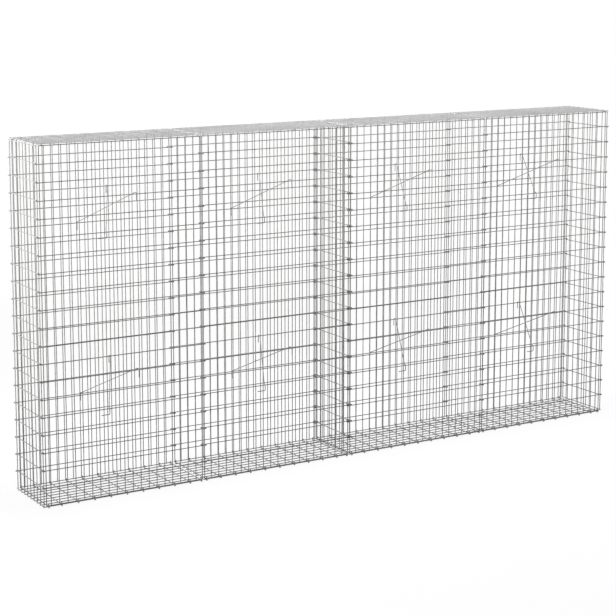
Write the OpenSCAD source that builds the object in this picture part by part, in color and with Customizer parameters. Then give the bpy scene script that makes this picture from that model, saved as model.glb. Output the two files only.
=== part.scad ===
// Gabion wall: an empty basket of welded wire mesh, four bays long, with hinged lids,
// one middle diaphragm and crossed tie wires. Standing along X, front face towards -Y.

/* [Overall] */
// Length of one bay, seam to seam
bay_l = 1000; // [600:100:1500]
// Height from the bottom row of wire to the top row
wall_h = 2000; // [1000:100:2400]
// Depth over the front and back rows of wire
wall_d = 400; // [300:50:600]

/* [Mesh] */
// Thickness of every wire
wire = 5; // [3:0.5:6]
// Spacing of the upright wires
upright_pitch = 50; // [40:10:100]
// Spacing of the rows of level wire, and of the cross wires of floor and lids
row_pitch = 100; // [80:10:200]
// Number of long wires in a floor or lid panel
long_wires = 9; // [5:1:13]
// Number of uprights in an end panel or in the diaphragm
end_uprights = 9; // [5:1:13]

/* [Edges] */
// Opening of the eye at the end of a wire
eye_bore = 13; // [12:0.5:16]
// Play of a row under the top of the eye that holds it
eye_play = 0.5; // [0.3:0.1:1]
// From a seam to the first upright of a bay's panel
seam_inset = 7.5; // [7:0.5:12]
// Clearance of a wire over the one that it rests on
rest_gap = 0.3; // [0.2:0.1:1]
// Gap between an eye and the wires beside it
side_gap = 1; // [0.5:0.5:3]
// Gap between two lids
lid_gap = 10; // [6:1:20]
// Least distance from an upright to the cross wire beside it
cross_offset = 10; // [9:0.5:14]

/* [Ties] */
// From the bottom row up to the middle of the lower crosses
low_tie_z = 600; // [300:100:800]
// From the top row down to the middle of the upper crosses
high_tie_drop = 400; // [200:100:800]
// Half the width and half the height that a cross spans, in rows
tie_rows = 1; // [1:1:2]
// Least distance from an upright to the tie wire beside it
tie_offset = 8; // [6:0.5:12]
// Length of the tail that hangs from a tie's hook
tail_l = 42; // [20:1:60]
// From a row down to the underside of the toe that ends a falling tie's front tail
toe_drop = 34; // [20:1:60]
// Length of that toe, level along the row
toe_l = 50; // [20:1:80]

/* [Hidden] */

bays = 4;
half = wire / 2;
eye_in = eye_bore / 2;
eye_out = eye_in + wire;
eye_mid = eye_in + half;
eye_seat = eye_in - half - eye_play;
hinge_sides = 8;
foot_sides = 4;
weld = 0.05;

// Rows and their heights. The rows of neighbouring panels are one wire apart in height,
// so that the ends of one lie over the rows of the next.
rows = floor(wall_h / row_pitch);
step = wire + rest_gap;
tie_clear = 1.5 * wire;
row_z0 = eye_out + eye_seat;
floor_cross_z = row_z0 - wire;
top_z = row_z0 + rows * row_pitch;

// Middle rows of the crosses: the lower cross stays under the upper one
high_tie_row = rows - round(high_tie_drop / row_pitch);
low_tie_row = min(round(low_tie_z / row_pitch), high_tie_row - 2 * tie_rows);

// Layers through the depth: tails of the ties, rows, and uprights inside them
row_y = wall_d / 2 - half;
upright_y = row_y - wire;
tail_y = row_y + step;

// Corner: the front and back rows end over the end panel's first and last uprights
end_row_x = bays * bay_l / 2 - half;
end_upright_x = end_row_x - wire;
corner_inset = wire + half + eye_out + half + side_gap;

// Middle diaphragm: its rows lie behind the last upright of bay 2
diaphragm_x = -seam_inset;
diaphragm_end_y = row_y - eye_out - half - side_gap;

// Floor and lids: cross wires next to the rows, long wires beyond them
lid_cross_z = top_z + wire + rest_gap;
lid_long_z = lid_cross_z + wire;
floor_long_z = floor_cross_z - wire;
long_end_y = diaphragm_end_y;

mesh_grey = [0.72, 0.73, 0.74];
lid_grey = [0.78, 0.79, 0.80];
floor_grey = [0.68, 0.69, 0.72];
tie_grey = [0.60, 0.61, 0.63];

// Left edge of a bay
function bay_x(i) = (i - bays / 2) * bay_l;
// How much higher the rows of a bay's front and back panels stand
function lift(i) = i % 2 == 0 ? 0 : step;
// From the left or right edge of a bay to its panel's first or last upright
function left_inset(i) = i == 0 ? corner_inset : seam_inset;
function right_inset(i) = i == bays - 1 ? corner_inset : seam_inset;
// Inner uprights of a bay, at whole pitches from its left edge, clear of both eyes
function inner_marks(pitch, length, keep) = [for (x = [pitch : pitch : length - pitch / 2])
    if (x > keep && x < length - keep) x];
// Uprights of a bay's front or back panel
function uprights(i) = concat([bay_x(i) + left_inset(i)],
    [for (x = inner_marks(upright_pitch, bay_l, upright_pitch / 2)) bay_x(i) + x],
    [bay_x(i) + bay_l - right_inset(i)]);
// Place along a bay that is nearest to x and at least |offset| from the uprights at whole
// pitches. Where x is on an upright, the sign of offset says on which side.
function beside(x, offset) = let (upright = upright_pitch * round(x / upright_pitch), gap = x - upright)
    upright + (abs(gap) >= abs(offset) ? gap : gap == 0 ? offset : sign(gap) * abs(offset));
// Cross wires of a bay's floor or lid, each beside an upright
function crosses(i) = concat([bay_x(i) + left_inset(i) + cross_offset],
    [for (x = inner_marks(row_pitch, bay_l, row_pitch / 2)) bay_x(i) + beside(x, cross_offset)],
    [bay_x(i) + bay_l - right_inset(i) - cross_offset]);
function spread(count, from, to) = [for (k = [0 : count - 1]) from + k * (to - from) / (count - 1)];

// Bars along the three axes, centred on their own line
module bar_x(x1, x2, y, z) translate([x1, y - half, z - half]) cube([x2 - x1, wire, wire]);
module bar_y(x, y1, y2, z) translate([x - half, y1, z - half]) cube([wire, y2 - y1, wire]);
module bar_z(x, y, z1, z2) translate([x - half, y - half, z1]) cube([wire, wire, z2 - z1]);

// Eye of one wire's thickness at the end of a cross wire: flat-sided, standing across X
module eye(x, y, z, sides) {
    turn = 180 / sides;
    translate([x - half, y, z]) rotate([0, 90, 0]) linear_extrude(wire) difference() {
        rotate(turn) circle(r = eye_out / cos(turn), $fn = sides);
        rotate(turn) circle(r = eye_in / cos(turn), $fn = sides);
    }
}

// Rounded bar along X, on which the eyes of a lid turn
module hinge_row(x1, x2, y, z) {
    translate([x1, y, z]) rotate([0, 90, 0]) rotate(180 / hinge_sides)
        cylinder(h = x2 - x1, r = (half + weld) / cos(180 / hinge_sides), $fn = hinge_sides);
}

// One bay of the front (side = -1) or the back (side = 1). Each row runs on over the
// edge upright of its neighbour, which it holds.
module long_panel(i, side) {
    ups = uprights(i);
    first = ups[0];
    last = ups[len(ups) - 1];
    left_catch = i == 0 ? -end_upright_x : bay_x(i) - seam_inset;
    right_catch = i == bays - 1 ? end_upright_x : bay_x(i + 1) + seam_inset;
    for (x = ups) bar_z(x, side * upright_y, row_z0 - half, top_z + half);
    for (k = [1 : rows - 1])
        bar_x(left_catch - half, right_catch + half, side * row_y, row_z0 + k * row_pitch + lift(i));
    bar_x(first - half, last + half, side * row_y, row_z0);
    if (side < 0) bar_x(first - half, last + half, -row_y, top_z);
    else hinge_row(first - half, last + half, row_y, top_z);
}

// Uprights and rows of an end panel, whose edge uprights the front and back rows hold
module end_panel(side) {
    raise = side < 0 ? step : 0;
    for (y = spread(end_uprights, -upright_y, upright_y))
        bar_z(side * end_upright_x, y, row_z0 - half, top_z + half);
    for (k = [0 : rows]) {
        z = row_z0 + k * row_pitch + (k > 0 && k < rows ? raise : 0);
        bar_y(side * end_row_x, -upright_y - half, upright_y + half, z);
    }
}

// Diaphragm between bays 2 and 3, its rows ending at the last uprights of bay 2
module diaphragm() {
    for (y = spread(end_uprights, -diaphragm_end_y, diaphragm_end_y))
        bar_z(diaphragm_x + wire, y, row_z0 - half, top_z + half);
    for (k = [0 : rows]) {
        inner = k > 0 && k < rows;
        end_y = inner ? upright_y - half - rest_gap : diaphragm_end_y + half;
        bar_y(diaphragm_x, -end_y, end_y, row_z0 + k * row_pitch + (inner ? 2 * step : 0));
    }
}

// One bay of the floor: cross wires with an eye at each end, long wires under them
module floor_panel(i) {
    for (x = crosses(i)) {
        bar_y(x, -row_y + eye_mid, row_y - eye_mid, floor_cross_z);
        for (side = [-1, 1]) eye(x, side * row_y, eye_out, foot_sides);
    }
    for (y = spread(long_wires, -long_end_y, long_end_y))
        bar_x(bay_x(i) + lid_gap / 2, bay_x(i) + bay_l - lid_gap / 2, y, floor_long_z);
}

// One lid: it hangs by its eyes on the top row of the back panel, and lies on the front
module lid(i) {
    for (x = crosses(i)) {
        bar_y(x, -row_y - half, row_y - eye_mid, lid_cross_z);
        eye(x, row_y, top_z + eye_seat, hinge_sides);
    }
    for (y = spread(long_wires, -row_y, long_end_y))
        bar_x(bay_x(i) + lid_gap / 2, bay_x(i) + bay_l - lid_gap / 2, y, lid_long_z);
}

// Bar of one wire's thickness between two points
module bar_between(a, b) {
    run = b - a;
    flat = norm([run[0], run[1]]);
    translate(a) rotate([0, 0, atan2(run[1], run[0])]) rotate([0, atan2(flat, run[2]), 0])
        translate([-half, -half, 0]) cube([wire, wire, norm(run)]);
}

// Hook over a row at height z: a saddle across it and a tail outside, which drops by |drop|
module hook(x, side, z, drop) {
    in_y = side * (upright_y - wire);
    bar_y(x, min(side * tail_y, in_y) - half, max(side * tail_y, in_y) + half, z + step);
    bar_z(x, side * tail_y, z - drop, z + step + half);
}

// Tie across bay i: from the back up to the front (rise = 1) or from the front up to the
// back, when its tail at the front is bent level to the left
module tie(i, mid_row, rise) {
    reach = tie_rows * row_pitch;
    mid_z = row_z0 + mid_row * row_pitch + lift(i);
    low_side = rise > 0 ? 1 : -1;
    low_row = mid_z - reach;
    high_row = mid_z + reach;
    low_x = bay_x(i) + beside(bay_l / 2 - reach, tie_offset);
    high_x = bay_x(i) + beside(bay_l / 2 + reach, -tie_offset);
    in_y = upright_y - wire;
    across = high_x - low_x;
    up = high_row - low_row;
    apart = cross([across, -2 * in_y, up], [across, 2 * in_y, up]);
    aside = rise * tie_clear / 2 * apart / norm(apart);
    low_end = [low_x, low_side * in_y, low_row + step];
    high_end = [high_x, -low_side * in_y, high_row + step];
    hook(low_x, low_side, low_row, rise > 0 ? tail_l : toe_drop);
    if (rise < 0) bar_x(low_x - toe_l, low_x + half, -tail_y, low_row - toe_drop + half);
    hook(high_x, -low_side, high_row, tail_l);
    bar_between(low_end + aside, high_end + aside);
}

module front_panel(i) color(mesh_grey) long_panel(i, -1);
module back_panel(i) color(mesh_grey) long_panel(i, 1);
module left_end_panel() color(mesh_grey) end_panel(-1);
module right_end_panel() color(mesh_grey) end_panel(1);
module middle_diaphragm() color(mesh_grey) diaphragm();
module floor_mesh(i) color(floor_grey) floor_panel(i);
module lid_mesh(i) color(lid_grey) lid(i);
module low_tie(i, rise) color(tie_grey) tie(i, low_tie_row, rise);
module high_tie(i, rise) color(tie_grey) tie(i, high_tie_row, rise);

front_panel(0);  // front_panel_1
front_panel(1);  // front_panel_2
front_panel(2);  // front_panel_3
front_panel(3);  // front_panel_4
back_panel(0);  // back_panel_1
back_panel(1);  // back_panel_2
back_panel(2);  // back_panel_3
back_panel(3);  // back_panel_4
left_end_panel();
right_end_panel();
middle_diaphragm();
floor_mesh(0);  // floor_panel_1
floor_mesh(1);  // floor_panel_2
floor_mesh(2);  // floor_panel_3
floor_mesh(3);  // floor_panel_4
lid_mesh(0);  // lid_1
lid_mesh(1);  // lid_2
lid_mesh(2);  // lid_3
lid_mesh(3);  // lid_4
low_tie(0, 1);  // low_tie_rising_1
low_tie(1, 1);  // low_tie_rising_2
low_tie(2, 1);  // low_tie_rising_3
low_tie(3, 1);  // low_tie_rising_4
low_tie(0, -1);  // low_tie_falling_1
low_tie(1, -1);  // low_tie_falling_2
low_tie(2, -1);  // low_tie_falling_3
low_tie(3, -1);  // low_tie_falling_4
high_tie(0, 1);  // high_tie_rising_1
high_tie(1, 1);  // high_tie_rising_2
high_tie(2, 1);  // high_tie_rising_3
high_tie(3, 1);  // high_tie_rising_4
high_tie(0, -1);  // high_tie_falling_1
high_tie(1, -1);  // high_tie_falling_2
high_tie(2, -1);  // high_tie_falling_3
high_tie(3, -1);  // high_tie_falling_4
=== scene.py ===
import math

import bmesh
import bpy
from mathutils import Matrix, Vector


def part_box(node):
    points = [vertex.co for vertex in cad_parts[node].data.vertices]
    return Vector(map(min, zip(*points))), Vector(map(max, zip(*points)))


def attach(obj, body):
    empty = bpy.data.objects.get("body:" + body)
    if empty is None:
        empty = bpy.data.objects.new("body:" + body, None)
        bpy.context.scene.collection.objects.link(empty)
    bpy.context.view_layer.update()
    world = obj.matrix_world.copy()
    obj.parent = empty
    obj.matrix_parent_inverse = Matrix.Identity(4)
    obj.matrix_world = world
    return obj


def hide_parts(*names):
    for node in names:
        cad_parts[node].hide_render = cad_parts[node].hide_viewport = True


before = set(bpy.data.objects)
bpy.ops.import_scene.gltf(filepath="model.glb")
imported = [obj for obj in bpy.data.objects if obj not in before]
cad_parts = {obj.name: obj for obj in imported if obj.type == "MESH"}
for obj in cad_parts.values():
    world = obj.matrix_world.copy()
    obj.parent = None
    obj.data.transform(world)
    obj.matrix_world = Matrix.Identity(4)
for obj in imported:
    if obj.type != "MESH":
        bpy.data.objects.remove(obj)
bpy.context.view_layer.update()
print("frame loaded:", len(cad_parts), "pieces of the basket")

mm = 0.001

# how the mesh is laid out, in metres
layout = {
    "bays": 4,
    "uprightPitch": 0.05,
    "rowPitch": 0.1,
    "seamInset": 7.5 * mm,     # seam to the first upright of a panel
    "crossOffset": 10 * mm,    # upright to the cross wire beside it
    "restGap": 0.3 * mm,       # a wire over the one that it rests on
    "sideGap": 1 * mm,         # an eye and the wires beside it
    "lidGap": 10 * mm,         # between two lids
    "longWires": 9,
    "endUprights": 9,
}

# where that puts the wires, taken from the frame: an end panel is two wires thick
leftX, endInside = (corner.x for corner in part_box("left_end_panel"))
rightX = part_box("right_end_panel")[1].x
wire = (endInside - leftX) / 2
half = wire / 2
rowStep = wire + layout["restGap"]
bayLength = (rightX - leftX) / layout["bays"]
panelLow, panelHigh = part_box("front_panel_1")
rowY = -panelLow.y - half
uprightY = rowY - wire
bottomRow = panelLow.z + half
topRow = panelHigh.z - half
rowCount = round((topRow - bottomRow) / layout["rowPitch"])
endRowX = rightX - half
endUprightX = endRowX - wire
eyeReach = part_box("lid_1")[1].y - rowY
innerY = rowY - eyeReach - half - layout["sideGap"]
cornerInset = wire + half + eyeReach + half + layout["sideGap"]
floorCrossZ = bottomRow - wire
lidCrossZ = topRow + rowStep
floorEyeZ = eyeReach                        # a floor's eyes stand on the ground
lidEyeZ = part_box("lid_1")[1].z - eyeReach
eyeSeat = lidEyeZ - topRow                  # from the middle of an eye to the wire it holds
panelEyeY = uprightY + eyeSeat


# finishes of the wire, hot-dip galvanised steel: tone is the grey that it averages, except the
# lids', which is raised to about twice the panels' as painted light for the top-lit deck
finishes = {
    "panel": {"tone": 0.38, "warmth": 0.004, "rough": (0.42, 0.60)},
    # the floor wire's small negative warmth, a cool tint, is painted shade: it stands in for the
    # bluish shade at the bottom of the basket
    "floor": {"tone": 0.40, "warmth": -0.006, "rough": (0.40, 0.58)},
    # the lids are the same wire as the panels; their light tone is painted light, standing in for
    # the top light on the deck
    "lid": {"tone": 0.78, "warmth": 0.0, "rough": (0.38, 0.55)},
    "tie": {"tone": 0.38, "warmth": 0.0, "rough": (0.36, 0.52)},
    "weld": {"tone": 0.34, "warmth": 0.002, "rough": (0.55, 0.72)},
}
zinc = {
    "driftScale": 2.4,       # slow change of tone along a wire, per metre
    "spangleScale": 240.0,   # crystals of the zinc, per metre
    "grainScale": 1500.0,    # runs and pimples
    "driftDetail": 3,
    "driftSpan": (0.3, 0.7), # the part of the noise that the drift uses
    "grainDetail": 2,
    "driftDepth": 0.16,
    "spangleDepth": 0.22,
    "metallic": 0.0,
    "specular": 0.25,
    "bumpHeight": 0.05 * mm,
    "bumpStrength": 0.5,
}


def addNode(tree, kind, **settings):
    node = tree.nodes.new(kind)
    for key, value in settings.items():
        setattr(node, key, value)
    return node


def galvanised(name, look):
    mat = bpy.data.materials.new(name)
    mat.use_nodes = True
    tree = mat.node_tree
    shader = tree.nodes["Principled BSDF"]
    link = tree.links.new
    place = addNode(tree, "ShaderNodeTexCoord").outputs["Object"]

    drift = addNode(tree, "ShaderNodeTexNoise")
    drift.inputs["Scale"].default_value = zinc["driftScale"]
    drift.inputs["Detail"].default_value = zinc["driftDetail"]
    spangle = addNode(tree, "ShaderNodeTexVoronoi", feature="F1")
    spangle.inputs["Scale"].default_value = zinc["spangleScale"]
    grain = addNode(tree, "ShaderNodeTexNoise")
    grain.inputs["Scale"].default_value = zinc["grainScale"]
    grain.inputs["Detail"].default_value = zinc["grainDetail"]
    for pattern in (drift, spangle, grain):
        link(place, pattern.inputs["Vector"])

    # crystal faces differ in grey: one random value a cell
    facet = addNode(tree, "ShaderNodeSeparateColor")
    link(spangle.outputs["Color"], facet.inputs["Color"])
    shade = addNode(tree, "ShaderNodeMapRange")
    link(facet.outputs["Red"], shade.inputs["Value"])
    shade.inputs["To Min"].default_value = -zinc["spangleDepth"] / 2
    shade.inputs["To Max"].default_value = zinc["spangleDepth"] / 2
    slow = addNode(tree, "ShaderNodeMapRange")
    link(drift.outputs["Fac"], slow.inputs["Value"])
    slow.inputs["From Min"].default_value, slow.inputs["From Max"].default_value = zinc["driftSpan"]
    slow.inputs["To Min"].default_value = 1 - zinc["driftDepth"] / 2
    slow.inputs["To Max"].default_value = 1 + zinc["driftDepth"] / 2
    both = addNode(tree, "ShaderNodeMath", operation="ADD")
    link(shade.outputs["Result"], both.inputs[0])
    link(slow.outputs["Result"], both.inputs[1])
    tint = addNode(tree, "ShaderNodeVectorMath", operation="SCALE")
    tone, warmth = look["tone"], look["warmth"]
    tint.inputs[0].default_value = (tone + warmth, tone, tone - warmth)
    link(both.outputs[0], tint.inputs["Scale"])
    link(tint.outputs["Vector"], shader.inputs["Base Color"])

    dull = addNode(tree, "ShaderNodeMapRange")
    link(facet.outputs["Green"], dull.inputs["Value"])
    dull.inputs["To Min"].default_value, dull.inputs["To Max"].default_value = look["rough"]
    link(dull.outputs["Result"], shader.inputs["Roughness"])

    relief = addNode(tree, "ShaderNodeMath", operation="ADD")
    link(spangle.outputs["Distance"], relief.inputs[0])
    link(grain.outputs["Fac"], relief.inputs[1])
    bump = addNode(tree, "ShaderNodeBump")
    bump.inputs["Strength"].default_value = zinc["bumpStrength"]
    bump.inputs["Distance"].default_value = zinc["bumpHeight"]
    link(relief.outputs[0], bump.inputs["Height"])
    link(bump.outputs["Normal"], shader.inputs["Normal"])

    shader.inputs["Metallic"].default_value = zinc["metallic"]
    shader.inputs["Specular IOR Level"].default_value = zinc["specular"]
    return mat


metal = {part: galvanised(part + "_zinc", look) for part, look in finishes.items()}
print("finishes made:", len(metal))


# round wires and welds, grown with Geometry Nodes
wireLook = {
    "sides": 12,
    "ringGap": 0.1,          # between the rings of a straight wire
    "stray": 0.25 * mm,      # how far a wire strays from its line
    "strayScale": 3.0,
    "strayDetail": 1,
    "bendSteps": 6,          # rings round a bend
    "sharpAngle": 50,        # edges steeper than this stay sharp, in degrees
}
weldLook = {"width": 2.5 * mm, "depth": 1.5 * mm, "vary": 0.25, "seed": 7}


def newTree(name, sockets):
    tree = bpy.data.node_groups.new(name, "GeometryNodeTree")
    face = tree.interface
    face.new_socket("Geometry", in_out="INPUT", socket_type="NodeSocketGeometry")
    for label, kind in sockets:
        face.new_socket(label, in_out="INPUT", socket_type="NodeSocket" + kind)
    face.new_socket("Geometry", in_out="OUTPUT", socket_type="NodeSocketGeometry")
    return tree, addNode(tree, "NodeGroupInput"), addNode(tree, "NodeGroupOutput")


# wires that cross stray together, because the stray depends on the place alone
def addStray(tree, geometry, amount):
    link = tree.links.new
    place = addNode(tree, "GeometryNodeInputPosition")
    noise = addNode(tree, "ShaderNodeTexNoise")
    noise.inputs["Scale"].default_value = wireLook["strayScale"]
    noise.inputs["Detail"].default_value = wireLook["strayDetail"]
    link(place.outputs[0], noise.inputs["Vector"])
    centred = addNode(tree, "ShaderNodeVectorMath", operation="SUBTRACT")
    link(noise.outputs["Color"], centred.inputs[0])
    centred.inputs[1].default_value = (0.5, 0.5, 0.5)
    level = addNode(tree, "ShaderNodeVectorMath", operation="MULTIPLY")
    link(centred.outputs[0], level.inputs[0])
    level.inputs[1].default_value = (2, 2, 0)
    scaled = addNode(tree, "ShaderNodeVectorMath", operation="SCALE")
    link(level.outputs[0], scaled.inputs[0])
    link(amount, scaled.inputs["Scale"])
    moved = addNode(tree, "GeometryNodeSetPosition")
    link(geometry, moved.inputs["Geometry"])
    link(scaled.outputs[0], moved.inputs["Offset"])
    return moved.outputs[0]


# a curve becomes a round wire with closed ends
def addWire(tree, curve, inp, out):
    link = tree.links.new
    strayed = addStray(tree, curve, inp.outputs["Stray"])
    ring = addNode(tree, "GeometryNodeCurvePrimitiveCircle")
    link(inp.outputs["Sides"], ring.inputs["Resolution"])
    link(inp.outputs["Radius"], ring.inputs["Radius"])
    tube = addNode(tree, "GeometryNodeCurveToMesh")
    link(strayed, tube.inputs["Curve"])
    link(ring.outputs["Curve"], tube.inputs["Profile Curve"])
    tube.inputs["Fill Caps"].default_value = True
    finishTree(tree, tube.outputs["Mesh"], inp, out)


def finishTree(tree, geometry, inp, out):
    link = tree.links.new
    smooth = addNode(tree, "GeometryNodeSetShadeSmooth")
    painted = addNode(tree, "GeometryNodeSetMaterial")
    link(geometry, smooth.inputs["Geometry"])
    link(smooth.outputs[0], painted.inputs["Geometry"])
    link(inp.outputs["Material"], painted.inputs["Material"])
    link(painted.outputs[0], out.inputs[0])


def makeRankTree():
    tree, inp, out = newTree("wire_rank", [
        ("Run", "Vector"), ("Ring gap", "Float"), ("Sides", "Int"),
        ("Radius", "Float"), ("Stray", "Float"), ("Material", "Material")])
    link = tree.links.new
    line = addNode(tree, "GeometryNodeCurvePrimitiveLine")
    link(inp.outputs["Run"], line.inputs["End"])
    copies = addNode(tree, "GeometryNodeInstanceOnPoints")
    link(inp.outputs["Geometry"], copies.inputs["Points"])
    link(line.outputs["Curve"], copies.inputs["Instance"])
    real = addNode(tree, "GeometryNodeRealizeInstances")
    link(copies.outputs["Instances"], real.inputs[0])
    rings = addNode(tree, "GeometryNodeResampleCurve", mode="LENGTH")
    link(real.outputs[0], rings.inputs["Curve"])
    link(inp.outputs["Ring gap"], rings.inputs["Length"])
    addWire(tree, rings.outputs["Curve"], inp, out)
    return tree


def makeFormTree():
    tree, inp, out = newTree("bent_wires", [
        ("Form", "Object"), ("Turn", "Vector"), ("Bend", "Float"), ("Sides", "Int"),
        ("Radius", "Float"), ("Stray", "Float"), ("Material", "Material")])
    link = tree.links.new
    form = addNode(tree, "GeometryNodeObjectInfo")
    link(inp.outputs["Form"], form.inputs["Object"])
    path = addNode(tree, "GeometryNodeMeshToCurve")
    link(form.outputs["Geometry"], path.inputs["Mesh"])
    bent = addNode(tree, "GeometryNodeFilletCurve", mode="POLY")
    link(path.outputs["Curve"], bent.inputs["Curve"])
    link(inp.outputs["Bend"], bent.inputs["Radius"])
    bent.inputs["Count"].default_value = wireLook["bendSteps"]
    copies = addNode(tree, "GeometryNodeInstanceOnPoints")
    link(inp.outputs["Geometry"], copies.inputs["Points"])
    link(bent.outputs["Curve"], copies.inputs["Instance"])
    link(inp.outputs["Turn"], copies.inputs["Rotation"])
    real = addNode(tree, "GeometryNodeRealizeInstances")
    link(copies.outputs["Instances"], real.inputs[0])
    addWire(tree, real.outputs[0], inp, out)
    return tree


def makeWeldTree():
    tree, inp, out = newTree("weld_spots", [
        ("Size", "Vector"), ("Vary", "Float"), ("Seed", "Int"),
        ("Stray", "Float"), ("Material", "Material")])
    link = tree.links.new
    blob = addNode(tree, "GeometryNodeMeshIcoSphere")
    blob.inputs["Radius"].default_value = 1
    blob.inputs["Subdivisions"].default_value = 1
    low = addNode(tree, "ShaderNodeMath", operation="SUBTRACT")
    low.inputs[0].default_value = 1
    link(inp.outputs["Vary"], low.inputs[1])
    swell = addNode(tree, "FunctionNodeRandomValue", data_type="FLOAT")
    swell.inputs[3].default_value = 1
    link(low.outputs[0], swell.inputs[2])
    link(inp.outputs["Seed"], swell.inputs["Seed"])
    size = addNode(tree, "ShaderNodeVectorMath", operation="SCALE")
    link(inp.outputs["Size"], size.inputs[0])
    link(swell.outputs[1], size.inputs["Scale"])
    copies = addNode(tree, "GeometryNodeInstanceOnPoints")
    link(inp.outputs["Geometry"], copies.inputs["Points"])
    link(blob.outputs["Mesh"], copies.inputs["Instance"])
    link(size.outputs[0], copies.inputs["Scale"])
    real = addNode(tree, "GeometryNodeRealizeInstances")
    link(copies.outputs["Instances"], real.inputs[0])
    finishTree(tree, addStray(tree, real.outputs[0], inp.outputs["Stray"]), inp, out)
    return tree


rankTree, formTree, weldTree = makeRankTree(), makeFormTree(), makeWeldTree()


# runs a tree on a set of points and gives back the plain mesh
def grow(tree, points, values):
    base = bpy.data.meshes.new("points")
    base.from_pydata([tuple(p) for p in points], [], [])
    seedling = bpy.data.objects.new("seedling", base)
    bpy.context.scene.collection.objects.link(seedling)
    modifier = seedling.modifiers.new("nodes", "NODES")
    modifier.node_group = tree
    for item in tree.interface.items_tree:
        if item.in_out == "INPUT" and item.name in values:
            modifier[item.identifier] = values[item.name]
    bpy.context.view_layer.update()
    final = seedling.evaluated_get(bpy.context.evaluated_depsgraph_get())
    grown = bpy.data.meshes.new_from_object(final)
    bpy.data.objects.remove(seedling)
    bpy.data.meshes.remove(base)
    return grown


def straightWires(starts, run, mat):
    return grow(rankTree, starts, {
        "Run": tuple(run), "Ring gap": wireLook["ringGap"], "Sides": wireLook["sides"],
        "Radius": half, "Stray": wireLook["stray"], "Material": mat})


def bentWires(form, points, turn, bend, mat):
    return grow(formTree, points, {
        "Form": form, "Turn": tuple(math.radians(a) for a in turn), "Bend": bend,
        "Sides": wireLook["sides"], "Radius": half, "Stray": wireLook["stray"], "Material": mat})


# flat is the axis that the two welded wires are stacked along
def welds(points, flat):
    size = [weldLook["width"]] * 3
    size[flat] = weldLook["depth"]
    return grow(weldTree, points, {
        "Size": tuple(size), "Vary": weldLook["vary"], "Seed": weldLook["seed"],
        "Stray": wireLook["stray"], "Material": metal["weld"]})


def polyline(name, points):
    path = bpy.data.meshes.new(name)
    path.from_pydata([tuple(p) for p in points], [(k, k + 1) for k in range(len(points) - 1)], [])
    obj = bpy.data.objects.new(name, path)
    bpy.context.scene.collection.objects.link(obj)
    return obj


# joins grown meshes into one piece that stands for a CAD node
def assemble(name, node, body, parts):
    joined = bmesh.new()
    kinds = []
    for part in parts:
        mat = part.materials[0]
        if mat not in kinds:
            kinds.append(mat)
        already = len(joined.faces)
        joined.from_mesh(part)
        joined.faces.ensure_lookup_table()
        for k in range(already, len(joined.faces)):
            joined.faces[k].material_index = kinds.index(mat)
        bpy.data.meshes.remove(part)
    whole = bpy.data.meshes.new(name)
    joined.to_mesh(whole)
    joined.free()
    for mat in kinds:
        whole.materials.append(mat)
    whole.set_sharp_from_angle(angle=math.radians(wireLook["sharpAngle"]))
    obj = bpy.data.objects.new(name, whole)
    bpy.context.scene.collection.objects.link(obj)
    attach(obj, body)
    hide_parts(node)
    return obj


# the eye at the end of a wire
eye = {
    "radius": eyeReach - half,  # to the middle of the wire
    "kink": 30,                 # where the ring leaves the wire's own line, in degrees
    "sweep": 305,
    "ringSteps": 26,
    "neckSteps": 4,
    "lead": 3 * mm,             # straight wire before the kink
}


# lies in its own XY plane round the origin, the wire arriving along +X, level with y = offset
def eyePath(offset):
    r = eye["radius"]
    first = math.pi + math.radians(eye["kink"])
    touch = Vector((math.cos(first), math.sin(first), 0)) * r
    along = Vector((-math.sin(first), math.cos(first), 0))
    corner = touch - along * ((touch.y - offset) / along.y)
    start = corner - Vector((eye["lead"], 0, 0))
    ring = []
    for k in range(eye["ringSteps"] + 1):
        a = first + math.radians(eye["sweep"]) * k / eye["ringSteps"]
        ring.append(Vector((r * math.cos(a), r * math.sin(a), 0)))
    neck = []
    for k in range(eye["neckSteps"]):
        t = k / eye["neckSteps"]
        neck.append(start * (1 - t) ** 2 + corner * 2 * t * (1 - t) + ring[0] * t * t)
    return neck + ring


def makeEye(name, offset):
    path = eyePath(offset)
    return {"form": polyline(name + "_eye", path), "neck": -path[0].x}


# one form for each way that a wire can pass the middle of its eye
eyes = {
    "panel": makeEye("panel", uprightY + eyeSeat - rowY),
    "diaphragm": makeEye("diaphragm", 0),
    "floor": makeEye("floor", floorCrossZ - floorEyeZ),
    "lid": makeEye("lid", lidCrossZ - lidEyeZ),
}
necks = [round(made["neck"] / mm, 1) for made in eyes.values()]
print("eyes reach back along their wires, in mm:", necks)


def spread(count, low, high):
    return [low + k * (high - low) / (count - 1) for k in range(count)]


def bayLeft(i):
    return leftX + i * bayLength


def leftInset(i):
    return cornerInset if i == 0 else layout["seamInset"]


def rightInset(i):
    return cornerInset if i == layout["bays"] - 1 else layout["seamInset"]


def uprightPlaces(i):
    pitch = layout["uprightPitch"]
    inner = [bayLeft(i) + pitch * k for k in range(1, round(bayLength / pitch))]
    return [bayLeft(i) + leftInset(i)] + inner + [bayLeft(i + 1) - rightInset(i)]


def crossPlaces(i):
    offset, pitch = layout["crossOffset"], layout["rowPitch"]
    inner = [bayLeft(i) + pitch * k + offset for k in range(1, round(bayLength / pitch))]
    return [bayLeft(i) + leftInset(i) + offset] + inner + [bayLeft(i + 1) - rightInset(i) - offset]


# bottom and top rows stay level with their neighbours', the rest may be raised
def rowHeight(k, raised=0.0):
    return bottomRow + k * layout["rowPitch"] + (raised if 0 < k < rowCount else 0)


def lift(i):
    return rowStep * (i % 2)


innerRows = range(1, rowCount)
edgeRows = (0, rowCount)
allRows = range(rowCount + 1)
uprightRun = (0, 0, topRow - bottomRow + wire)


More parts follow.
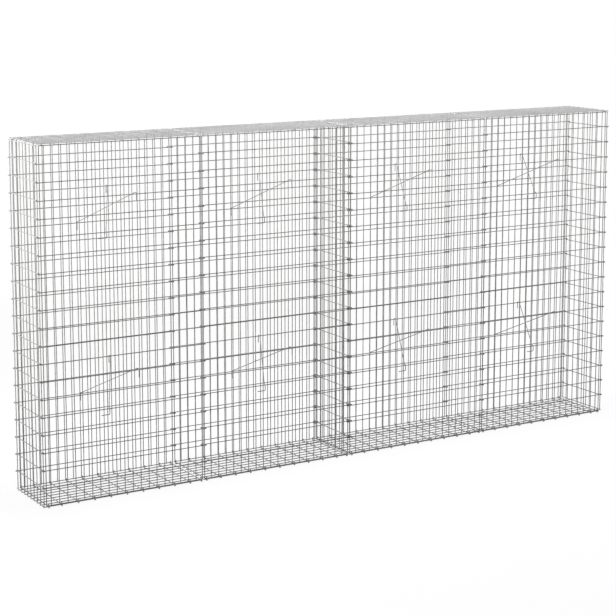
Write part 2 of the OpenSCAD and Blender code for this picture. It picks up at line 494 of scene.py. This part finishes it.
# front (side -1) or back (side 1) of a bay: its rows end in eyes round the neighbours' uprights
def longPanel(i, side):
    mat = metal["panel"]
    ups = uprightPlaces(i)
    leftCatch = -endUprightX if i == 0 else bayLeft(i) - layout["seamInset"]
    rightCatch = endUprightX if i == layout["bays"] - 1 else bayLeft(i + 1) + layout["seamInset"]
    heights = [rowHeight(k, lift(i)) for k in innerRows]
    neck = eyes["panel"]["neck"]
    fromX = leftCatch + neck
    parts = [
        straightWires([(x, side * uprightY, bottomRow - half) for x in ups], uprightRun, mat),
        straightWires([(fromX, side * rowY, z) for z in heights],
                      (rightCatch - neck - fromX, 0, 0), mat),
        straightWires([(ups[0] - half, side * rowY, rowHeight(k)) for k in edgeRows],
                      (ups[-1] - ups[0] + wire, 0, 0), mat)]
    turns = {(leftCatch, -1): (0, 180, 0), (rightCatch, -1): (0, 0, 0),
             (leftCatch, 1): (0, 0, 180), (rightCatch, 1): (180, 0, 0)}
    for x in (leftCatch, rightCatch):
        parts.append(bentWires(eyes["panel"]["form"], [(x, side * panelEyeY, z) for z in heights],
                               turns[(x, side)], 0, mat))
    weldY = side * (uprightY + rowY) / 2
    parts.append(welds([(x, weldY, rowHeight(k, lift(i))) for x in ups for k in allRows], 1))
    place = "front" if side < 0 else "back"
    assemble(f"{place}_mesh_{i + 1}", f"{place}_panel_{i + 1}", "basket", parts)


def endPanel(side):
    mat = metal["panel"]
    name = "left_end" if side < 0 else "right_end"
    ups = spread(layout["endUprights"], -uprightY, uprightY)
    heights = [rowHeight(k, rowStep if side < 0 else 0) for k in allRows]
    parts = [
        straightWires([(side * endUprightX, y, bottomRow - half) for y in ups], uprightRun, mat),
        straightWires([(side * endRowX, -uprightY - half, z) for z in heights],
                      (0, 2 * uprightY + wire, 0), mat),
        welds([(side * (endUprightX + endRowX) / 2, y, z) for y in ups for z in heights], 0)]
    assemble(name + "_mesh", name + "_panel", "basket", parts)


# the diaphragm's rows lie one step above the rows of bay 4 and 2, and hold bay 2's last uprights
def diaphragm():
    mat = metal["panel"]
    rowX = -layout["seamInset"]
    ups = spread(layout["endUprights"], -innerY, innerY)
    heights = [rowHeight(k, 2 * rowStep) for k in innerRows]
    eyeForm = eyes["diaphragm"]["form"]
    reach = panelEyeY - eyes["diaphragm"]["neck"]
    parts = [
        straightWires([(rowX + wire, y, bottomRow - half) for y in ups], uprightRun, mat),
        straightWires([(rowX, -reach, z) for z in heights], (0, 2 * reach, 0), mat),
        straightWires([(rowX, -innerY - half, rowHeight(k)) for k in edgeRows],
                      (0, 2 * innerY + wire, 0), mat),
        bentWires(eyeForm, [(rowX, panelEyeY, z) for z in heights], (180, 0, 90), 0, mat),
        bentWires(eyeForm, [(rowX, -panelEyeY, z) for z in heights], (0, 0, -90), 0, mat),
        welds([(rowX + half, y, rowHeight(k, 2 * rowStep)) for y in ups for k in allRows], 0)]
    assemble("diaphragm_mesh", "middle_diaphragm", "basket", parts)


# cross wires under (floor) or over (lid) the edge rows, with eyes that hold those rows
def flatPanel(i, kind, crossZ, longZ, eyeZ, frontEye):
    # a lid takes the lid finish, whose light tone is painted light for the top-lit deck
    mat, eyeForm = metal[kind], eyes[kind]["form"]
    crosses = crossPlaces(i)
    toY = rowY - eyes[kind]["neck"]
    fromY = -toY if frontEye else -rowY - half
    longs = spread(layout["longWires"], -innerY if frontEye else -rowY, innerY)
    gap = layout["lidGap"] / 2
    parts = [
        straightWires([(x, fromY, crossZ) for x in crosses], (0, toY - fromY, 0), mat),
        straightWires([(bayLeft(i) + gap, y, longZ) for y in longs],
                      (bayLength - 2 * gap, 0, 0), mat),
        bentWires(eyeForm, [(x, rowY, eyeZ) for x in crosses], (90, 0, 90), 0, mat),
        welds([(x, y, (crossZ + longZ) / 2) for x in crosses for y in longs], 2)]
    if frontEye:
        parts.append(bentWires(eyeForm, [(x, -rowY, eyeZ) for x in crosses], (90, 0, -90), 0, mat))
    return parts


bays = range(layout["bays"])
for i in bays:
    longPanel(i, -1)
    longPanel(i, 1)
print("front and back panels made")
endPanel(-1)
endPanel(1)
diaphragm()
for i in bays:
    assemble(f"floor_mesh_{i + 1}", f"floor_panel_{i + 1}", "basket",
             flatPanel(i, "floor", floorCrossZ, floorCrossZ - wire, floorEyeZ, True))
    assemble(f"lid_mesh_{i + 1}", f"lid_{i + 1}", f"lid_body_{i + 1}",
             flatPanel(i, "lid", lidCrossZ, lidCrossZ + wire, lidEyeZ, False))
print("ends, diaphragm, floors and lids made")


# crossed ties
tie = {
    "middleRows": {"low": 6, "high": 16},
    "reach": 0.1,            # half the height and half the width of a cross
    "offset": 8 * mm,        # upright to the tie beside it
    "tail": 42 * mm,
    "toeDrop": 34 * mm,      # front tail of a falling tie: down, then level
    "toe": 50 * mm,
    "clear": 1.5 * wire,     # between the two wires of a cross
    "bend": rowStep,
}


# one tie round the middle of its cross: rise 1 climbs from back to front, -1 from front to back
def tiePath(rise):
    acrossX = tie["reach"] - tie["offset"]
    inY = uprightY - wire
    hookY = rowY + rowStep
    forwards = Vector((2 * acrossX, -2 * inY, 2 * tie["reach"]))
    backwards = Vector((2 * acrossX, 2 * inY, 2 * tie["reach"]))
    apart = forwards.cross(backwards)
    aside = apart.normalized() * (rise * tie["clear"] / 2)
    path = []
    for end, side in ((-1, rise), (1, -rise)):
        x, row = end * acrossX, end * tie["reach"]
        saddle = row + rowStep
        hook = [(x, side * hookY, row - tie["tail"]), (x, side * hookY, saddle)]
        if rise < 0 and end < 0:
            toeZ = row - tie["toeDrop"] + half
            hook[0] = (x, side * hookY, toeZ)
            hook.insert(0, (x - tie["toe"], side * hookY, toeZ))
        hook = [Vector(p) for p in hook] + [Vector((x, side * inY, saddle)) + aside]
        path += hook if end < 0 else hook[::-1]
    return path


for trend, rise in (("rising", 1), ("falling", -1)):
    form = polyline(trend + "_form", tiePath(rise))
    for level, row in tie["middleRows"].items():
        for i in bays:
            middle = ((bayLeft(i) + bayLeft(i + 1)) / 2, 0, rowHeight(row, lift(i)))
            assemble(f"{level}_{trend}_wire_{i + 1}", f"{level}_tie_{trend}_{i + 1}",
                     "basket",
                     [bentWires(form, [middle], (0, 0, 0), tie["bend"], metal["tie"])])
    bpy.data.objects.remove(form)
for made in eyes.values():
    bpy.data.objects.remove(made["form"])
print("ties made")


# studio
studio = {
    "floorSize": 60.0,
    "floorTone": 0.20,          # what the floor gives back to the lamps' light
    "floorGlow": (0.87, 0.98),  # lifts the floor to white for the camera, less where lamps light it
    "glowReach": (2.0, 7.0),    # distances from the middle at which it has those two values
    "fill": 0.12,               # world light on the object
    "lamps": [
        # name, place, aim, width, height, power, spread in degrees
        ("top", (0.0, 0.0, 4.0), (0, 0, 2.0), 6.0, 2.0, 130, 180),
        ("left", (-10.0, 0.0, 1.6), (0, 0, 3.5), 4.0, 3.0, 180, 60),
        ("right", (10.0, 0.0, 1.6), (0, 0, 3.5), 4.0, 3.0, 180, 60),
    ],
}


# what the camera, gloss and glass see instead of the plain surface
def addSeenRays(tree):
    rays = addNode(tree, "ShaderNodeLightPath")
    seen = rays.outputs["Is Camera Ray"]
    for other in ("Is Glossy Ray", "Is Transmission Ray"):
        most = addNode(tree, "ShaderNodeMath", operation="MAXIMUM")
        tree.links.new(seen, most.inputs[0])
        tree.links.new(rays.outputs[other], most.inputs[1])
        seen = most.outputs[0]
    return seen


def makeFloor():
    side = studio["floorSize"] / 2
    plane = bpy.data.meshes.new("floor")
    corners = [(-side, -side, 0), (side, -side, 0), (side, side, 0), (-side, side, 0)]
    plane.from_pydata(corners, [], [(0, 1, 2, 3)])
    floor = bpy.data.objects.new("studio_floor", plane)
    bpy.context.scene.collection.objects.link(floor)
    mat = bpy.data.materials.new("pale_floor")
    mat.use_nodes = True
    tree = mat.node_tree
    tree.nodes.clear()
    matt = addNode(tree, "ShaderNodeBsdfDiffuse")
    tone = studio["floorTone"]
    matt.inputs["Color"].default_value = (tone, tone, tone, 1)
    glow = addNode(tree, "ShaderNodeEmission")
    place = addNode(tree, "ShaderNodeTexCoord").outputs["Object"]
    away = addNode(tree, "ShaderNodeVectorMath", operation="LENGTH")
    tree.links.new(place, away.inputs[0])
    level = addNode(tree, "ShaderNodeMapRange")
    tree.links.new(away.outputs["Value"], level.inputs["Value"])
    for end, reach, amount in zip(("Min", "Max"), studio["glowReach"], studio["floorGlow"]):
        level.inputs["From " + end].default_value = reach
        level.inputs["To " + end].default_value = amount
    strength = addNode(tree, "ShaderNodeMath", operation="MULTIPLY")
    tree.links.new(addSeenRays(tree), strength.inputs[0])
    tree.links.new(level.outputs["Result"], strength.inputs[1])
    tree.links.new(strength.outputs[0], glow.inputs["Strength"])
    both = addNode(tree, "ShaderNodeAddShader")
    tree.links.new(matt.outputs[0], both.inputs[0])
    tree.links.new(glow.outputs[0], both.inputs[1])
    tree.links.new(both.outputs[0], addNode(tree, "ShaderNodeOutputMaterial").inputs["Surface"])
    plane.materials.append(mat)


def makeWorld():
    world = bpy.data.worlds.new("studio")
    bpy.context.scene.world = world
    world.use_nodes = True
    tree = world.node_tree
    light = tree.nodes["Background"]
    light.inputs["Color"].default_value = (1, 1, 1, 1)
    strength = addNode(tree, "ShaderNodeMapRange")
    tree.links.new(addSeenRays(tree), strength.inputs["Value"])
    strength.inputs["To Min"].default_value = studio["fill"]
    strength.inputs["To Max"].default_value = 1
    tree.links.new(strength.outputs["Result"], light.inputs["Strength"])


def makeLamps():
    for name, place, aim, width, height, power, spread in studio["lamps"]:
        lamp = bpy.data.lights.new(name + "_softbox", "AREA")
        lamp.shape = "RECTANGLE"
        lamp.size, lamp.size_y, lamp.energy = width, height, power
        lamp.spread = math.radians(spread)
        obj = bpy.data.objects.new(name + "_softbox", lamp)
        obj.location = place
        obj.rotation_euler = (Vector(aim) - Vector(place)).to_track_quat("-Z", "Y").to_euler()
        obj.visible_camera = False
        bpy.context.scene.collection.objects.link(obj)


# the camera stands to the left, a metre above the wall, and looks a little down
shot = {
    "place": (-5.48, -8.791, 3.0105),
    "yaw": 31.11,
    "down": 8.52,
    "lens": 100.61,
    "sensor": 36,
    "shiftY": -0.15,
}


def makeCamera():
    data = bpy.data.cameras.new("shot")
    data.sensor_width = shot["sensor"]
    data.lens = shot["lens"]
    data.shift_y = shot["shiftY"]
    data.clip_end = 200
    cam = bpy.data.objects.new("camera", data)
    cam.location = shot["place"]
    cam.rotation_euler = (math.radians(90 - shot["down"]), 0, -math.radians(shot["yaw"]))
    bpy.context.scene.collection.objects.link(cam)
    bpy.context.scene.camera = cam


makeFloor()
makeWorld()
makeLamps()
makeCamera()
bpy.context.scene.view_settings.view_transform = "Standard"
print("studio ready")
